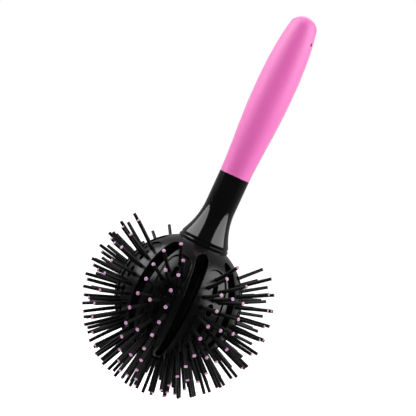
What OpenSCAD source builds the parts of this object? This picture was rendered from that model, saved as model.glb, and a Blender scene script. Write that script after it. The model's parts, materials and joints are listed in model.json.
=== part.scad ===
// Ball-shaped styling brush: a vented cage of curved ribs on a flared neck,
// a long soft-touch handle, and nylon bristles that point outward on all sides.
// Millimetres. The handle's axis is Z, and z = 0 is the tip of the lowest bristle.

/* [Overall] */
// Length from the lowest bristle tip to the end of the handle
total_l = 236.6; // [231:0.1:250]
// Diameter of the ball that the bristle tips lie on
tip_ball_d = 112; // [110:0.5:113]

/* [Cage] */
// Outer diameter of the ball that the ribs lie on
cage_d = 74.4; // [72:0.2:76]
// Height of the cage's centre above the centre of the bristle ball
cage_rise = 2.5; // [1.5:0.25:3]
// Wall thickness of a rib
rib_t = 2; // [1.8:0.1:2.2]
// Widest width of the vent slot between two ribs, near the collar
slot_top_w = 7.8; // [6:0.2:9]
// Width of the vent slot near the pole
slot_low_w = 4; // [3:0.2:5]
// Depth of the walls that line each slot, from the cage's outside inwards
slot_wall_depth = 10; // [6:0.5:11]
// Depth of the recess that a rib's pins stand in, below its smooth top end
recess_d = 0.8; // [0.4:0.1:0.9]
// Width of the oblong vent hole between the two pins of a paired row
vent_w = 3.2; // [2.4:0.1:4]
// Length of a vent hole, along the rib
vent_l = 7.4; // [4:0.2:7.6]

/* [Bristles] */
// Angle between two rows of pins, in degrees
row_pitch = 9.25; // [9.1:0.05:9.3]
// Latitude of the middle row, in degrees
mid_row_lat = -7.5; // [-8:0.25:-6.5]
// Side angle of the outer pins in a row of three, in degrees
triple_spread = 8.5; // [7.5:0.1:9]
// Side angle of the pins in a row of two, in degrees
pair_spread = 7.6; // [7:0.1:8.5]
// Side angle of the wide pairs, in the middle row and near the pole, in degrees
mid_spread = 9.5; // [8.5:0.1:10]
// How far the pins of the top row reach beyond the ball
crown_reach = 2; // [0:0.5:3]
// Pin diameter where it leaves the rib
pin_root_d = 2.3; // [2:0.1:2.4]
// Pin diameter at its tip
pin_tip_d = 1.9; // [1.6:0.1:2.2]

/* [Neck] */
// Outer diameter of the collar band
collar_d = 30.4; // [29:0.2:31]
// Height of the collar's top edge
collar_top = 94.8; // [94.4:0.1:96]
// Diameter of the straight part of the neck
neck_d = 18.2; // [17.6:0.2:19]
// Height at which the neck begins to flare
flare_top = 116.8; // [113:0.1:120]

/* [Handle] */
// Height of the edge between the neck and the grip
grip_low = 136.4; // [133:0.1:141]
// Height of the handle's widest place
grip_belly = 188; // [182:0.5:193]
// Widest diameter of the handle
grip_d = 23; // [21.5:0.5:26]
// Thickness of the soft skin on the handle
skin_t = 1.6; // [1.2:0.1:2]
// Diameter of the hanging hole
hang_d = 2; // [1.6:0.1:3.6]
// Angle of the hanging hole about the handle's axis, in degrees
hang_turn = -15; // [-90:1:90]
// Distance from the hanging hole's axis to the handle's end
hang_inset = 14; // [12:0.5:18]

/* [Hidden] */
$fn = 96;
ball_fn = 128;
pin_fn = 24;
eps = 0.01;
over = 1;               // how far a cutting shape reaches past what it cuts
gap = 0.1;              // assembly clearance between two mouldings
far = 60;               // reaches past the cage on every side

rib_count = 8;
rib_pitch = 360 / rib_count;
tip_r = tip_ball_d / 2;
ball_z = tip_r;         // centre of the bristle ball
cage_r = cage_d / 2;
cage_z = ball_z + cage_rise;
rib_in_r = cage_r - rib_t;
strip_t = 1.3;          // backing strip behind a rib
strip_r = rib_in_r - gap;
strip_in_r = strip_r - strip_t;
strip_half_w = 7.4;
strip_top_lat = 46;

last_row = 12;          // rows 0 to 12, counted down from the collar
mid_row = 5;
low_pair_row = 11;
last_vented_row = 9;
vent_from = strip_in_r - cage_rise - over;
vent_reach = cage_r + cage_rise + over - vent_from;
dome_h = 0.4;           // height of the coloured bead on a pin's end
bead_lip = 0.1;         // how far a bead's edge stands out past its pin
bead_stem_d = 1;
bead_stem_h = 0.6;      // depth of the stem in its blind seat
bead_fit = 0.02;

slot_top_lat = 57;
slot_low_lat = -62;
slot_end_steps = 10;
slot_from = 11;         // where a slot's cut begins, measured out from the axis
slot_wall_t = 1.2;
slot_wall_gap = 0.2;    // between a slot's wall and the flange of the crown hub
recess_rim = 1.4;       // width of the raised rim along a slot
recess_half_w = 7.6;
recess_top_lat = 45;
crown_r = 12.9;
pole_r = 8.2;
pole_ring_lat = -81;
pole_ring_count = 4;
pole_ring_turn = 45;
pole_skirt_t = 1;
pole_skirt_h = 3.6;     // skirt that snaps into the groove of the pole hub
pole_cap_rise = 0.7;

hub_floor_rise = 25.5;  // from the cage's centre up to the crown hub's floor
hub_floor = cage_z + hub_floor_rise;
hub_flange_r = 16.4;
pole_hub_r = 14.4;
pole_hub_t = 2.5;
spigot_r = 6.9;
spigot_top = 111;
spigot_end_gap = 1;
neck_bore_r = spigot_r + gap;
plug_h = 3;             // plug under the crown hub that centres the barrel
barrel_r = 13;
barrel_t = 1.4;
barrel_low = cage_z + gap - sqrt(pow(strip_in_r - gap - pole_hub_t, 2) - barrel_r * barrel_r);
edge_round = 0.5;
collar_seat_gap = 0.05;
lip_h = 1.6;            // straight lip at the wide end of the flare
lip_set_in = 0.7;       // how far the lip stands in from the collar band
lip_r = collar_d / 2 - lip_set_in;
flare_low = collar_top + lip_h;
flare_steps = 14;

hang_z = total_l - hang_inset;
tang_r = 6.6;
tang_clear = 12.5;      // from the tang's end up to the hanging hole's axis
tang_top = hang_z - tang_clear;
tang_chamfer = 1;
tang_end_gap = 0.3;
grip_low_r = neck_d / 2;
swell_power = 1.65;     // how late the handle swells above the neck
end_taper = 0.41;       // how much the handle narrows above its widest place
taper_power = 2.58;
dome_from = 0.88;       // share of the way to the end at which the domed end begins
belly_steps = 16;
taper_steps = 12;
dome_steps = 10;

// ---- the pattern of the pins on one rib ----

function row_lat(row) = mid_row_lat - (row - mid_row) * row_pitch;

function row_sides(row) =
    row == 0 || row == last_row ? [0]
    : row == mid_row || row == low_pair_row ? [-mid_spread, mid_spread]
    : row % 2 == 1 ? [-pair_spread, pair_spread]
    : [-triple_spread, 0, triple_spread];

// Every pin of a rib as [latitude, side angle].
rib_pins = [for (row = [0:last_row]) for (side = row_sides(row)) [row_lat(row), side]];

pole_pins = concat(
    [[-90, 0]],
    [for (i = [0:pole_ring_count - 1]) [pole_ring_lat, pole_ring_turn + i * 360 / pole_ring_count]]
);

// Latitudes of the vent holes, one in the middle of each paired row.
vent_lats = [for (row = [1:2:last_vented_row]) row_lat(row)];

// Distance from the bristle ball's centre to a sphere about the cage's centre.
function from_centre(sphere_r, lat) =
    cage_rise * sin(lat) + sqrt(sphere_r * sphere_r - pow(cage_rise * cos(lat), 2));

// Distance from the bristle ball's centre to a pin's tip: the upper rows reach further.
function tip_at(lat) =
    tip_r + crown_reach * pow(max(0, sin(lat)) / sin(row_lat(0)), 2);

// ---- shared shapes ----

// Puts +Z of the children on the outward direction at a latitude and side angle.
module point_out(lat, side)
    translate([0, 0, ball_z]) rotate([0, 90 - lat, side]) children();

module at_cage() translate([0, 0, cage_z]) children();

module cage_shell(outer_r, inner_r)
    at_cage() difference() {
        sphere(outer_r, $fn = ball_fn);
        sphere(inner_r, $fn = ball_fn);
    }

// The wedge of space that belongs to one rib, set back from its neighbours.
module rib_wedge(side_gap) {
    set_back = side_gap / 2 / sin(rib_pitch / 2);
    half_w = far * tan(rib_pitch / 2);
    translate([0, 0, cage_z - far])
        linear_extrude(2 * far)
            polygon([[set_back, 0], [set_back + far, half_w], [set_back + far, -half_w]]);
}

// A vent slot seen from outside: round at both ends, widest near the collar.
// A border above 0 makes the same outline larger all round.
module slot_outline(border) {
    top_r = slot_top_w / 2 + border;
    low_r = slot_low_w / 2 + border;
    top_y = cage_r * sin(slot_top_lat) - slot_top_w / 2;
    low_y = cage_r * sin(slot_low_lat) + slot_low_w / 2;
    polygon(concat(
        [for (i = [0:slot_end_steps]) let (a = 180 * i / slot_end_steps)
            [top_r * cos(a), top_y + top_r * sin(a)]],
        [for (i = [0:slot_end_steps]) let (a = 180 + 180 * i / slot_end_steps)
            [low_r * cos(a), low_y + low_r * sin(a)]]
    ));
}

// The two slots that border a rib, cut outwards from a distance off the axis.
module vent_slots(border, from = slot_from)
    for (side = [-1, 1])
        rotate([0, 0, side * rib_pitch / 2])
            translate([from, 0, cage_z]) rotate([90, 0, 90])
                linear_extrude(far) slot_outline(border);

// A tapered pin with a blind seat in its end.
module pin(lat, side) {
    root = from_centre(strip_in_r + strip_t / 2, lat);
    point_out(lat, side) difference() {
        translate([0, 0, root])
            cylinder(h = tip_at(lat) - dome_h - root, d1 = pin_root_d, d2 = pin_tip_d, $fn = pin_fn);
        translate([0, 0, tip_at(lat) - dome_h - bead_stem_h])
            cylinder(h = bead_stem_h + over, d = bead_stem_d + 2 * bead_fit, $fn = pin_fn);
    }
}

module pin_hole(lat, side)
    point_out(lat, side) translate([0, 0, from_centre(strip_in_r, lat) - over])
        cylinder(h = cage_r - strip_in_r + 3 * over, d = pin_root_d + 2 * gap, $fn = pin_fn);

// The coloured bead: a low dome on the pin's end, with a stem in the pin's seat.
module pin_bead(lat, side) {
    bead_r = pin_tip_d / 2 + bead_lip;
    dome_r = (bead_r * bead_r + dome_h * dome_h) / (2 * dome_h);
    point_out(lat, side) {
        translate([0, 0, tip_at(lat) - dome_h]) intersection() {
            translate([0, 0, dome_h - dome_r]) sphere(dome_r, $fn = ball_fn);
            cylinder(h = dome_h, r = bead_r, $fn = pin_fn);
        }
        translate([0, 0, tip_at(lat) - dome_h - bead_stem_h + bead_fit])
            cylinder(h = bead_stem_h, d = bead_stem_d, $fn = pin_fn);
    }
}

// An oblong opening through a rib and its backing strip, long along the rib.
module vent_hole(lat)
    point_out(lat, 0) translate([0, 0, vent_from]) linear_extrude(vent_reach) {
        for (end = [-1, 1])
            translate([end * (vent_l - vent_w) / 2, 0]) circle(vent_w / 2, $fn = pin_fn);
        square([vent_l - vent_w, vent_w], center = true);
    }

// ---- the cage ----

// Walls turned inward along the slots, which end clear of the hubs at both poles.
module slot_walls()
    intersection() {
        cage_shell(cage_r - rib_t / 2, cage_r - slot_wall_depth);
        vent_slots(slot_wall_t, hub_flange_r + slot_wall_gap);
    }

// The round-topped field on a rib that its pins stand in.
module recess() {
    top_y = cage_r * sin(recess_top_lat) - recess_half_w;
    difference() {
        intersection() {
            cage_shell(cage_r + over, cage_r - recess_d);
            at_cage() rotate([90, 0, 90]) linear_extrude(far) {
                translate([0, top_y]) circle(recess_half_w);
                translate([-recess_half_w, -far]) square([2 * recess_half_w, far + top_y]);
            }
        }
        vent_slots(recess_rim);
    }
}

// A curved skin with a wall turned inward along each of its slots.
module rib(i)
    color("#17171a") rotate([0, 0, i * rib_pitch]) difference() {
        intersection() {
            union() {
                cage_shell(cage_r, rib_in_r);
                slot_walls();
            }
            rib_wedge(gap);
        }
        vent_slots(0);
        recess();
        at_cage() cylinder(h = far, r = crown_r + gap);
        at_cage() translate([0, 0, -far]) cylinder(h = far, r = pole_r + gap);
        for (p = rib_pins) pin_hole(p[0], p[1]);
        for (lat = vent_lats) vent_hole(lat);
    }

// Backing strip and its pins, moulded in one piece and pushed through the rib.
module bristle_comb(i)
    color("#101012") rotate([0, 0, i * rib_pitch]) {
        difference() {
            intersection() {
                cage_shell(strip_r, strip_in_r);
                rib_wedge(gap);
                translate([0, -strip_half_w, 0])
                    cube([far, 2 * strip_half_w, cage_z + strip_r * sin(strip_top_lat)]);
            }
            vent_slots(slot_wall_t + gap);
            at_cage() translate([0, 0, -far]) cylinder(h = far, r = pole_r + gap);
            for (lat = vent_lats) vent_hole(lat);
        }
        for (p = rib_pins) pin(p[0], p[1]);
    }

module bristle_tips(i)
    color("#e08cc6") rotate([0, 0, i * rib_pitch])
        for (p = rib_pins) pin_bead(p[0], p[1]);

// ---- the pole ----

module pole_hub()
    color("#17171a") difference() {
        intersection() {
            cage_shell(strip_in_r - gap, strip_in_r - gap - pole_hub_t);
            at_cage() translate([0, 0, -far]) cylinder(h = far, r = pole_hub_r);
        }
        at_cage() translate([0, 0, -far]) difference() {
            cylinder(h = far - rib_in_r + pole_skirt_h + gap, r = pole_r + gap);
            cylinder(h = far, r = pole_r - pole_skirt_t - gap);
        }
    }

module pole_cap()
    color("#17171a") difference() {
        union() {
            intersection() {
                cage_shell(cage_r + pole_cap_rise, rib_in_r);
                at_cage() translate([0, 0, -far]) cylinder(h = far, r = pole_r);
            }
            at_cage() translate([0, 0, -rib_in_r]) difference() {
                cylinder(h = pole_skirt_h, r = pole_r);
                cylinder(h = pole_skirt_h, r = pole_r - pole_skirt_t);
            }
        }
        for (p = pole_pins) pin_hole(p[0], p[1]);
    }

module pole_comb()
    color("#101012") {
        intersection() {
            cage_shell(strip_r, strip_in_r);
            at_cage() translate([0, 0, -far]) cylinder(h = far, r = pole_r - pole_skirt_t - gap);
        }
        for (p = pole_pins) pin(p[0], p[1]);
    }

module pole_tips()
    color("#e08cc6") for (p = pole_pins) pin_bead(p[0], p[1]);

// ---- the collar and the neck ----

module crown_hub()
    color("#17171a") {
        intersection() {
            at_cage() sphere(rib_in_r - gap, $fn = ball_fn);
            translate([0, 0, hub_floor]) cylinder(h = far, r = hub_flange_r);
        }
        translate([0, 0, hub_floor]) cylinder(h = collar_top - gap - hub_floor, r = crown_r);
        translate([0, 0, hub_floor - plug_h]) cylinder(h = plug_h + over, r = barrel_r - barrel_t - gap);
        translate([0, 0, hub_floor]) cylinder(h = spigot_top - hub_floor, r = spigot_r);
    }

// A tube between the two hubs that closes the view through the cage's middle.
module inner_barrel()
    color("#101012") translate([0, 0, barrel_low]) difference() {
        cylinder(h = hub_floor - gap - barrel_low, r = barrel_r);
        translate([0, 0, -over])
            cylinder(h = hub_floor - barrel_low + 2 * over, r = barrel_r - barrel_t);
    }

module collar_ring()
    color("#141416") difference() {
        rotate_extrude() polygon([
            [crown_r + gap, hub_floor],
            [collar_d / 2 - edge_round, hub_floor],
            [collar_d / 2, hub_floor + edge_round],
            [collar_d / 2, collar_top - gap - edge_round],
            [collar_d / 2 - edge_round, collar_top - gap],
            [crown_r + gap, collar_top - gap]
        ]);
        at_cage() sphere(cage_r + collar_seat_gap, $fn = ball_fn);
    }

// Radius of the neck's outside, which flares as a parabola towards the collar.
function neck_r(z) =
    let (u = (flare_top - z) / (flare_top - flare_low))
    neck_d / 2 + (lip_r - neck_d / 2) * u * u;

module neck_shaft()
    color("#121214") difference() {
        rotate_extrude() polygon(concat(
            [[0, collar_top], [lip_r, collar_top]],
            [for (i = [0:flare_steps])
                let (z = flare_low + i * (flare_top - flare_low) / flare_steps)
                [neck_r(z), z]],
            [[neck_d / 2, grip_low - gap], [tang_r, grip_low - gap], [tang_r, tang_top - tang_chamfer],
             [tang_r - tang_chamfer, tang_top], [0, tang_top]]
        ));
        translate([0, 0, collar_top - eps])
            cylinder(h = spigot_top + spigot_end_gap - collar_top, r = neck_bore_r);
    }

// ---- the handle ----

// Radius and height of the handle's outline at a share of the way from its widest place to its end.
function end_r(v) = grip_d / 2 * (1 - end_taper * pow(v, taper_power));
function end_z(v, inset) = grip_belly + v * (total_l - inset - grip_belly);

// Outline of the handle from its low edge to its tip, drawn inwards by inset.
function grip_outline(inset) = concat(
    [for (i = [0:belly_steps])
        let (u = i / belly_steps, swell = pow(sin(90 * u), swell_power))
        [grip_low_r - inset + (grip_d / 2 - grip_low_r) * swell,
         grip_low + u * (grip_belly - grip_low)]],
    [for (i = [1:taper_steps])
        let (v = dome_from * i / taper_steps)
        [end_r(v) - inset, end_z(v, inset)]],
    [for (i = [1:dome_steps])
        let (a = 90 * i / dome_steps, v = dome_from + (1 - dome_from) * sin(a))
        [(end_r(v) - inset) * cos(a), end_z(v, inset)]]
);

module hang_hole()
    rotate([0, 0, hang_turn]) translate([-far, 0, hang_z])
        rotate([0, 90, 0]) cylinder(h = 2 * far, d = hang_d);

module grip_skin()
    color("#f27cc6") difference() {
        rotate_extrude() polygon(concat([[0, grip_low]], grip_outline(0)));
        rotate_extrude() polygon(concat(
            [[0, grip_low - over], [grip_low_r - skin_t, grip_low - over]],
            grip_outline(skin_t)
        ));
        hang_hole();
    }

module handle_core()
    color("#e9e4e8") difference() {
        rotate_extrude() polygon(concat([[0, grip_low]], grip_outline(skin_t + gap / 2)));
        translate([0, 0, grip_low - over])
            cylinder(h = tang_top + tang_end_gap + over - grip_low, r = tang_r + gap);
        hang_hole();
    }

grip_skin();
handle_core();
neck_shaft();
collar_ring();
crown_hub();
inner_barrel();
for (i = [1:rib_count]) {
    rib(i);
    bristle_comb(i);
    bristle_tips(i);
}
pole_hub();
pole_cap();
pole_comb();
pole_tips();
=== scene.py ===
"""The looks of a ball-shaped styling brush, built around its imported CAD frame.

Everything is in metres.
"""

import json
import math
import random

import bmesh
import bpy
from mathutils import Matrix, Vector


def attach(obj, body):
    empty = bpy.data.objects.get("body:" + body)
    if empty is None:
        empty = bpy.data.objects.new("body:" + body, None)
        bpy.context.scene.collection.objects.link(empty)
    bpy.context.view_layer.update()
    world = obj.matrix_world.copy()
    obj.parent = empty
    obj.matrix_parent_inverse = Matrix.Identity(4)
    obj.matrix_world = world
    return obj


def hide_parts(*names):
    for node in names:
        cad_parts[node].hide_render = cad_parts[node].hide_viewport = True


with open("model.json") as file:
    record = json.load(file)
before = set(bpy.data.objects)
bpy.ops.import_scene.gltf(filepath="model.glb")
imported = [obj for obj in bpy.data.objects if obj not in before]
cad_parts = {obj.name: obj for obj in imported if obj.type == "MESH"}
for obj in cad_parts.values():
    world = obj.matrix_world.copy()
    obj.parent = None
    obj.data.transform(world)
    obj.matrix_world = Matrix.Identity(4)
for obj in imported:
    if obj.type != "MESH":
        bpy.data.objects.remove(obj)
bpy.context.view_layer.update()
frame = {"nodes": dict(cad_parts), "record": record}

RIBS = 8
BALL_CENTRE = Vector((0, 0, 0.056))  # of the ball that the bristle tips lie on, which touches z = 0

# ---- materials ----
#
# A noise's scale is in waves per metre. A colour ramp holds two pairs of a noise value and a colour.


class Shader:
    """A node material with a Principled surface, and short names for the nodes that it uses."""

    def __init__(self, name, roughness, specular=0.5):
        self.material = bpy.data.materials.new(name)
        self.material.use_nodes = True
        self.nodes = self.material.node_tree.nodes
        self.links = self.material.node_tree.links
        self.surface = self.nodes["Principled BSDF"]
        self.surface.inputs["Roughness"].default_value = roughness
        self.surface.inputs["Specular IOR Level"].default_value = specular
        self.place = self.nodes.new("ShaderNodeTexCoord").outputs["Object"]

    def noise(self, scale, detail=3.0, stretch=(1, 1, 1)):
        """Noise in the object's own space. A stretch below 1 draws it out along that axis."""
        mapping = self.nodes.new("ShaderNodeMapping")
        mapping.inputs["Scale"].default_value = stretch
        self.links.new(self.place, mapping.inputs["Vector"])
        noise = self.nodes.new("ShaderNodeTexNoise")
        noise.inputs["Scale"].default_value = scale
        noise.inputs["Detail"].default_value = detail
        self.links.new(mapping.outputs["Vector"], noise.inputs["Vector"])
        return noise.outputs["Fac"]

    def ramp(self, value, stops):
        """A colour that changes with a value, between two stops."""
        ramp = self.nodes.new("ShaderNodeValToRGB")
        for element, (position, colour) in zip(ramp.color_ramp.elements, stops):
            element.position = position
            element.color = (*colour, 1)
        self.links.new(value, ramp.inputs["Fac"])
        return ramp.outputs["Color"]

    def spread(self, value, low, high):
        """A value between 0 and 1, mapped to a range."""
        spread = self.nodes.new("ShaderNodeMapRange")
        spread.inputs["To Min"].default_value = low
        spread.inputs["To Max"].default_value = high
        self.links.new(value, spread.inputs["Value"])
        return spread.outputs["Result"]

    def colour(self, value, stops):
        self.links.new(self.ramp(value, stops), self.surface.inputs["Base Color"])

    def roughness(self, value, low, high):
        self.links.new(self.spread(value, low, high), self.surface.inputs["Roughness"])

    def bump(self, value, height, rounding=0.0):
        """Fine relief of a height, on top of edges that look rounded by a radius."""
        bump = self.nodes.new("ShaderNodeBump")
        bump.inputs["Distance"].default_value = height
        self.links.new(value, bump.inputs["Height"])
        if rounding:
            edge = self.nodes.new("ShaderNodeBevel")
            edge.samples = 4
            edge.inputs["Radius"].default_value = rounding
            self.links.new(edge.outputs["Normal"], bump.inputs["Normal"])
        self.links.new(bump.outputs["Normal"], self.surface.inputs["Normal"])


def soft_grip():
    shader = Shader("soft_grip_pink", 0.5, 0.9)
    streaks = shader.noise(55, 4, (1, 1, 0.35))
    shader.colour(streaks, [(0.3, (0.76, 0.109, 0.435)), (0.7, (0.81, 0.128, 0.485))])
    shader.surface.inputs["Sheen Weight"].default_value = 1.0
    shader.surface.inputs["Sheen Roughness"].default_value = 0.4
    shader.surface.inputs["Sheen Tint"].default_value = (1, 0.95, 1, 1)
    shader.roughness(shader.noise(160, 3), 0.44, 0.58)
    shader.bump(shader.noise(5200, 2), 0.00002, 0.0002)
    return shader.material


def handle_plastic():
    shader = Shader("core_plastic", 0.5)
    shader.colour(shader.noise(90), [(0.3, (0.74, 0.66, 0.70)), (0.7, (0.80, 0.73, 0.77))])
    shader.bump(shader.noise(3000), 0.00001)
    return shader.material


def gloss_black():
    shader = Shader("gloss_black", 0.09, 0.5)
    shader.colour(shader.noise(70), [(0.3, (0.0024, 0.0024, 0.0025)), (0.7, (0.0036, 0.0035, 0.0036))])
    shader.roughness(shader.noise(240, 5, (1, 1, 0.25)), 0.05, 0.13)
    shader.bump(shader.noise(420, 2), 0.000012, 0.0003)
    return shader.material


def cage_black():
    shader = Shader("cage_black", 0.24, 0.4)
    shader.colour(shader.noise(80), [(0.3, (0.0026, 0.0026, 0.0027)), (0.7, (0.0042, 0.0041, 0.0043))])
    shader.roughness(shader.noise(300, 4), 0.17, 0.3)
    shader.bump(shader.noise(900, 3), 0.000012, 0.00035)
    return shader.material


def nylon_black():
    shader = Shader("nylon_black", 0.5, 0.3)
    shader.colour(shader.noise(120), [(0.3, (0.0022, 0.0022, 0.0023)), (0.7, (0.0036, 0.0035, 0.0036))])
    shader.roughness(shader.noise(700, 3), 0.42, 0.56)
    shader.bump(shader.noise(2500, 2), 0.000008)
    return shader.material


def tip_pink():
    shader = Shader("tip_pink", 0.3, 0.5)
    island = shader.nodes.new("ShaderNodeNewGeometry").outputs["Random Per Island"]
    mix = shader.nodes.new("ShaderNodeMath")
    mix.operation = "MULTIPLY_ADD"
    mix.inputs[1].default_value = 0.7  # how far one bead's colour differs from another's
    shader.links.new(island, mix.inputs[0])
    shader.links.new(shader.spread(shader.noise(1500, 2), 0, 0.3), mix.inputs[2])
    shader.colour(mix.outputs[0], [(0, (0.42, 0.205, 0.36)), (1, (0.57, 0.33, 0.50))])
    shader.surface.inputs["Subsurface Weight"].default_value = 0.15
    shader.surface.inputs["Subsurface Scale"].default_value = 0.0006
    shader.roughness(shader.noise(1800, 2), 0.22, 0.38)
    shader.bump(shader.noise(2600, 2), 0.00002)
    return shader.material


MATERIALS = {
    "grip": soft_grip(),
    "core": handle_plastic(),
    "gloss_black": gloss_black(),
    "cage_black": cage_black(),
    "nylon_black": nylon_black(),
    "tip_pink": tip_pink(),
}


def dress(piece, slot):
    """Gives a piece the one material of its slot."""
    piece.data.materials.clear()
    piece.data.materials.append(MATERIALS[slot])


for part in frame["record"]["subparts"]:
    dress(frame["nodes"][part["node"]], part["material_slot"])

# ---- bristles: each pin a little bent, as nylon pins are ----

PIN_SIDES = 14
PIN_RINGS = 9
PIN_ROOT_R = 0.00115
PIN_TIP_R = 0.00095
PIN_BURIED = 0.0035      # length of a pin that is hidden under the rib's skin
CAGE_MEET_R = 0.0375     # distance from the ball's centre at which a pin leaves the rib
DOME_H = 0.0004
DOME_EDGE = 0.00008      # height of a bead's upright edge, below its dome
DOME_LIP = 0.0001
DOME_STEPS = 5
TIP_MARGIN = 0.00003     # keeps a leaning tip inside the CAD box
LEAN_MAX = 0.0011        # furthest that a bent pin's tip strays sideways
LEAN_BIAS = 1.3          # above 1, small leans are commoner than large ones
BEND_POWER = 1.7         # above 1, a pin bends more towards its tip
SHARE_STEP = 0.01        # share of a pin's length over which its direction is taken
STRIP_MAX_R = 0.045      # a comb's points beyond this distance from the ball's centre are on pins
WELD = 1e-7              # points nearer than this are one point
SHARP_ANGLE = math.radians(50)


def beads(obj):
    """The centre of each separate bead in a mesh, and how far it reaches from the ball's centre."""
    bm = bmesh.new()
    bm.from_mesh(obj.data)
    bmesh.ops.remove_doubles(bm, verts=bm.verts, dist=WELD)
    unseen = set(bm.verts)
    found = []
    while unseen:
        stack = [min(unseen, key=lambda v: v.index)]
        unseen.discard(stack[0])
        solid = []
        while stack:
            vertex = stack.pop()
            solid.append(vertex.co.copy())
            for edge in vertex.link_edges:
                other = edge.other_vert(vertex)
                if other in unseen:
                    unseen.discard(other)
                    stack.append(other)
        centre = sum(solid, Vector()) / len(solid)
        found.append((centre, max((corner - BALL_CENTRE).length for corner in solid)))
    bm.free()
    return sorted(found, key=lambda bead: [round(place, 5) for place in bead[0].zxy])


def ring(bm, centre, along, radius):
    """A circle of new points around a pin's line."""
    side = along.orthogonal().normalized()
    over = along.cross(side)
    turn = 2 * math.pi / PIN_SIDES
    return [
        bm.verts.new(centre + radius * (math.cos(i * turn) * side + math.sin(i * turn) * over))
        for i in range(PIN_SIDES)
    ]


def skin_rings(bm, rings):
    """Joins rings of points into a closed tube and caps both ends."""
    for low, high in zip(rings, rings[1:]):
        for i in range(PIN_SIDES):
            j = (i + 1) % PIN_SIDES
            bm.faces.new((low[i], low[j], high[j], high[i]))
    bm.faces.new(reversed(rings[0]))
    bm.faces.new(rings[-1])


class Pin:
    """A tapered pin along a gently bent line from the rib to the ball of tips."""

    def __init__(self, bead_centre, reach, rng):
        self.out = (bead_centre - BALL_CENTRE).normalized()
        side = self.out.orthogonal().normalized()
        angle = rng.uniform(0, 2 * math.pi)
        self.lean = (math.cos(angle) * side + math.sin(angle) * self.out.cross(side)) * LEAN_MAX
        self.lean *= rng.random() ** LEAN_BIAS
        self.start = CAGE_MEET_R - PIN_BURIED
        self.length = reach - TIP_MARGIN - DOME_H - self.start

    def point(self, share):
        in_the_open = (share * self.length - PIN_BURIED) / (self.length - PIN_BURIED)
        bend = max(0, in_the_open) ** BEND_POWER
        straight = BALL_CENTRE + self.out * (self.start + share * self.length)
        drop = self.out * (self.lean.length ** 2 * bend / 2 / self.length)
        return straight + self.lean * bend - drop

    def along(self, share):
        return (self.point(share + SHARE_STEP) - self.point(share - SHARE_STEP)).normalized()

    def add_shaft(self, bm):
        rings = []
        for i in range(PIN_RINGS):
            share = i / (PIN_RINGS - 1)
            radius = PIN_ROOT_R + (PIN_TIP_R - PIN_ROOT_R) * share
            rings.append(ring(bm, self.point(share), self.along(share), radius))
        skin_rings(bm, rings)

    def add_dome(self, bm):
        end = self.point(1)
        along = self.along(1)
        lip = PIN_TIP_R + DOME_LIP
        rings = [ring(bm, end, along, PIN_TIP_R), ring(bm, end + along * DOME_EDGE / 3, along, lip)]
        for step in range(DOME_STEPS):
            angle = step / DOME_STEPS * math.pi / 2
            height = DOME_EDGE + (DOME_H - DOME_EDGE) * math.sin(angle)
            rings.append(ring(bm, end + along * height, along, lip * math.cos(angle)))
        skin_rings(bm, rings)


def finish_piece(bm, name, slot, replaced):
    """Turns a mesh into a named piece that stands in for a CAD node."""
    bmesh.ops.recalc_face_normals(bm, faces=bm.faces)
    mesh = bpy.data.meshes.new(name)
    bm.to_mesh(mesh)
    bm.free()
    piece = bpy.data.objects.new(name, mesh)
    bpy.context.scene.collection.objects.link(piece)
    mesh.shade_smooth()
    mesh.set_sharp_from_angle(angle=SHARP_ANGLE)
    dress(piece, slot)
    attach(piece, "root")
    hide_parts(replaced)


def strip_without_pins(node):
    """The CAD backing strip of a comb, with its straight pins taken off and the holes closed."""
    bm = bmesh.new()
    bm.from_mesh(frame["nodes"][node].data)
    bmesh.ops.remove_doubles(bm, verts=bm.verts, dist=WELD)
    pins = [v for v in bm.verts if (v.co - BALL_CENTRE).length > STRIP_MAX_R]
    bmesh.ops.delete(bm, geom=pins, context="VERTS")
    open_edges = [e for e in bm.edges if e.is_boundary]
    bmesh.ops.holes_fill(bm, edges=open_edges, sides=0)
    return bm


def build_bristles(comb, tips, rng):
    shafts = strip_without_pins(comb)
    domes = bmesh.new()
    for centre, reach in beads(frame["nodes"][tips]):
        pin = Pin(centre, reach, rng)
        pin.add_shaft(shafts)
        pin.add_dome(domes)
    finish_piece(shafts, comb + "_bent", "nylon_black", comb)
    finish_piece(domes, tips + "_bent", "tip_pink", tips)


rng = random.Random(31)
for rib in range(1, RIBS + 1):
    build_bristles(f"bristle_comb_{rib}", f"bristle_tips_{rib}", rng)
build_bristles("pole_comb", "pole_tips", rng)

# ---- camera ----

VIEW_AZ = math.radians(14.2)
VIEW_EL = math.radians(2.8)
VIEW_ROLL = math.radians(24.8)
VIEW_DISTANCE = 0.755
VIEW_LENS = 112.5
AIM_RIGHT = 0.01828      # from the ball's centre to the middle of the view
AIM_UP = 0.05441

view_out = Vector((
    math.sin(VIEW_AZ) * math.cos(VIEW_EL),
    -math.cos(VIEW_AZ) * math.cos(VIEW_EL),
    math.sin(VIEW_EL),
))
level_right = Vector((math.cos(VIEW_AZ), math.sin(VIEW_AZ), 0))
level_up = view_out.cross(level_right)
right = level_right * math.cos(VIEW_ROLL) + level_up * math.sin(VIEW_ROLL)
up = level_up * math.cos(VIEW_ROLL) - level_right * math.sin(VIEW_ROLL)
aim = BALL_CENTRE + right * AIM_RIGHT + up * AIM_UP


def build_camera():
    camera = bpy.data.objects.new("camera", bpy.data.cameras.new("camera"))
    bpy.context.scene.collection.objects.link(camera)
    turn = Matrix((right, up, view_out)).transposed().to_4x4()
    camera.matrix_world = Matrix.Translation(aim + view_out * VIEW_DISTANCE) @ turn
    camera.data.lens = VIEW_LENS
    camera.data.clip_start = 0.01
    bpy.context.scene.camera = camera


build_camera()

# ---- studio ----

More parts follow.
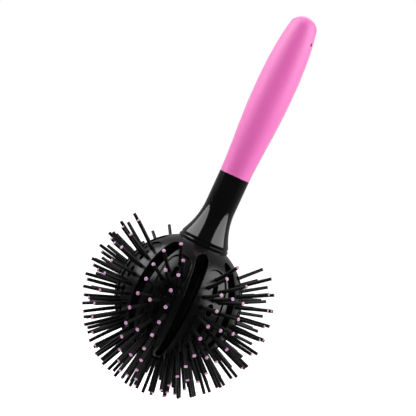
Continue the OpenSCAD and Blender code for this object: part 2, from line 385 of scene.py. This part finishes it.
FILL = 0.23
MIRROR_FRONT = 0.03      # brightness that gloss reflects from the camera's side
MIRROR_BACK = 0.34       # and from the side behind the brush
FADE_FROM = -1           # the reflected studio is brightest at this cosine of the angle to the camera
FADE_TO = 0.5            # and darkest at this one


def softbox(name, turn_deg, rise_deg, diameter, radiance, mirrored=True):
    """A round light aimed at the brush from 1 m away.

    Its turn is counted from the camera, to the right.
    """
    azimuth = VIEW_AZ + math.radians(turn_deg)
    rise = math.radians(rise_deg)
    out = Vector((
        math.sin(azimuth) * math.cos(rise),
        -math.cos(azimuth) * math.cos(rise),
        math.sin(rise),
    ))
    light = bpy.data.lights.new(name, "AREA")
    light.shape = "DISK"
    light.size = diameter
    disk_area = math.pi * diameter ** 2 / 4
    light.energy = radiance * math.pi * disk_area
    lamp = bpy.data.objects.new(name, light)
    bpy.context.scene.collection.objects.link(lamp)
    lamp.location = aim + out
    lamp.rotation_euler = out.to_track_quat("Z", "Y").to_euler()
    lamp.visible_camera = False
    lamp.visible_glossy = mirrored


softbox("left_softbox", -87, 33, 1.25, 3.8)
softbox("right_softbox", 76, 34, 1.25, 3.6)
softbox("low_fill", 10, -72, 1.25, 3.6, mirrored=False)


def build_world():
    """White behind the brush, a soft even fill, and dark reflections of the camera's side."""
    world = bpy.data.worlds.new("studio")
    bpy.context.scene.world = world
    world.use_nodes = True
    nodes = world.node_tree.nodes
    links = world.node_tree.links
    nodes.clear()

    def background(strength):
        node = nodes.new("ShaderNodeBackground")
        node.inputs["Color"].default_value = (1, 1, 1, 1)
        node.inputs["Strength"].default_value = strength
        return node

    def choose(ray, otherwise, chosen):
        mix = nodes.new("ShaderNodeMixShader")
        links.new(rays.outputs[ray], mix.inputs["Fac"])
        links.new(otherwise, mix.inputs[1])
        links.new(chosen, mix.inputs[2])
        return mix.outputs["Shader"]

    rays = nodes.new("ShaderNodeLightPath")
    direction = nodes.new("ShaderNodeTexCoord").outputs["Generated"]
    to_camera = nodes.new("ShaderNodeVectorMath")
    to_camera.operation = "DOT_PRODUCT"
    to_camera.inputs[1].default_value = view_out
    links.new(direction, to_camera.inputs[0])
    fade = nodes.new("ShaderNodeMapRange")
    fade.interpolation_type = "SMOOTHSTEP"
    fade.inputs["From Min"].default_value = FADE_FROM
    fade.inputs["From Max"].default_value = FADE_TO
    fade.inputs["To Min"].default_value = MIRROR_BACK
    fade.inputs["To Max"].default_value = MIRROR_FRONT
    links.new(to_camera.outputs["Value"], fade.inputs["Value"])
    mirrored = background(0)
    links.new(fade.outputs["Result"], mirrored.inputs["Strength"])
    shaded = choose("Is Glossy Ray", background(FILL).outputs[0], mirrored.outputs[0])
    seen = choose("Is Camera Ray", shaded, background(1.0).outputs[0])
    output = nodes.new("ShaderNodeOutputWorld")
    links.new(seen, output.inputs["Surface"])


FLOOR_SIZE = 8
FLOOR_DROP = 0.11        # far enough below the brush that its shadow is out of the main view


def build_floor():
    bpy.ops.mesh.primitive_plane_add(size=FLOOR_SIZE, location=(0, 0, -FLOOR_DROP))
    floor = bpy.context.object
    floor.name = "floor"
    floor.visible_glossy = False
    floor.visible_diffuse = False
    floor.visible_shadow = False  # lets low_fill shine up through it
    material = bpy.data.materials.new("pale_floor")
    material.use_nodes = True
    surface = material.node_tree.nodes["Principled BSDF"]
    surface.inputs["Base Color"].default_value = (0.85, 0.85, 0.85, 1)
    surface.inputs["Roughness"].default_value = 0.9
    surface.inputs["Emission Color"].default_value = (1, 1, 1, 1)
    surface.inputs["Emission Strength"].default_value = 0.95
    floor.data.materials.append(material)


build_world()
build_floor()
bpy.context.scene.view_settings.view_transform = "Standard"
